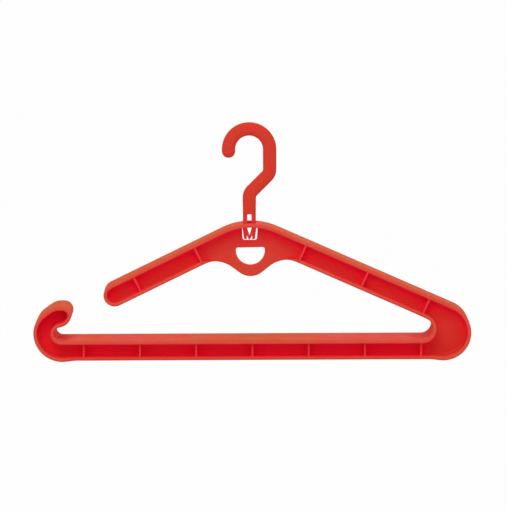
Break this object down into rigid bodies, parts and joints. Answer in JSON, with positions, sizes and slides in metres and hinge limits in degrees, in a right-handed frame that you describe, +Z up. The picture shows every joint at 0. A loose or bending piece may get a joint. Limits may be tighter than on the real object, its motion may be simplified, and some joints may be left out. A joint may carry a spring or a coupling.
{
  "type": "wetsuit hanger",
  "caption": "Ribbed moulded hanger with a broad lower bar, a curled open end, a closed end and a D-shaped hole, hung from a free-turning hook that snaps into the frame.",
  "frame": {"origin": "seat of the rail: the top of the inside of the hook's arc, on the axis that the frame turns about", "axes": "+X towards the closed end and -X towards the open end with the curl; -Y is the front, as pictured; +Z up, along the swivel axis"},
  "size_m": [0.4794, 0.044, 0.2612],
  "materials": {
    "frame_plastic": "satin red moulded plastic with a fine grain",
    "hook_plastic": "smooth red moulded plastic"
  },
  "bodies": {
    "hook": {"swivel_hook": "hook_plastic"},
    "frame": {"hanger_frame": "frame_plastic"}
  },
  "joints": [
    {"name": "hook_swivel", "type": "hinge", "parent": "hook", "child": "frame", "pos_m": [0, 0, -0.0974], "axis": [0, 0, 1], "continuous": true}
  ]
}
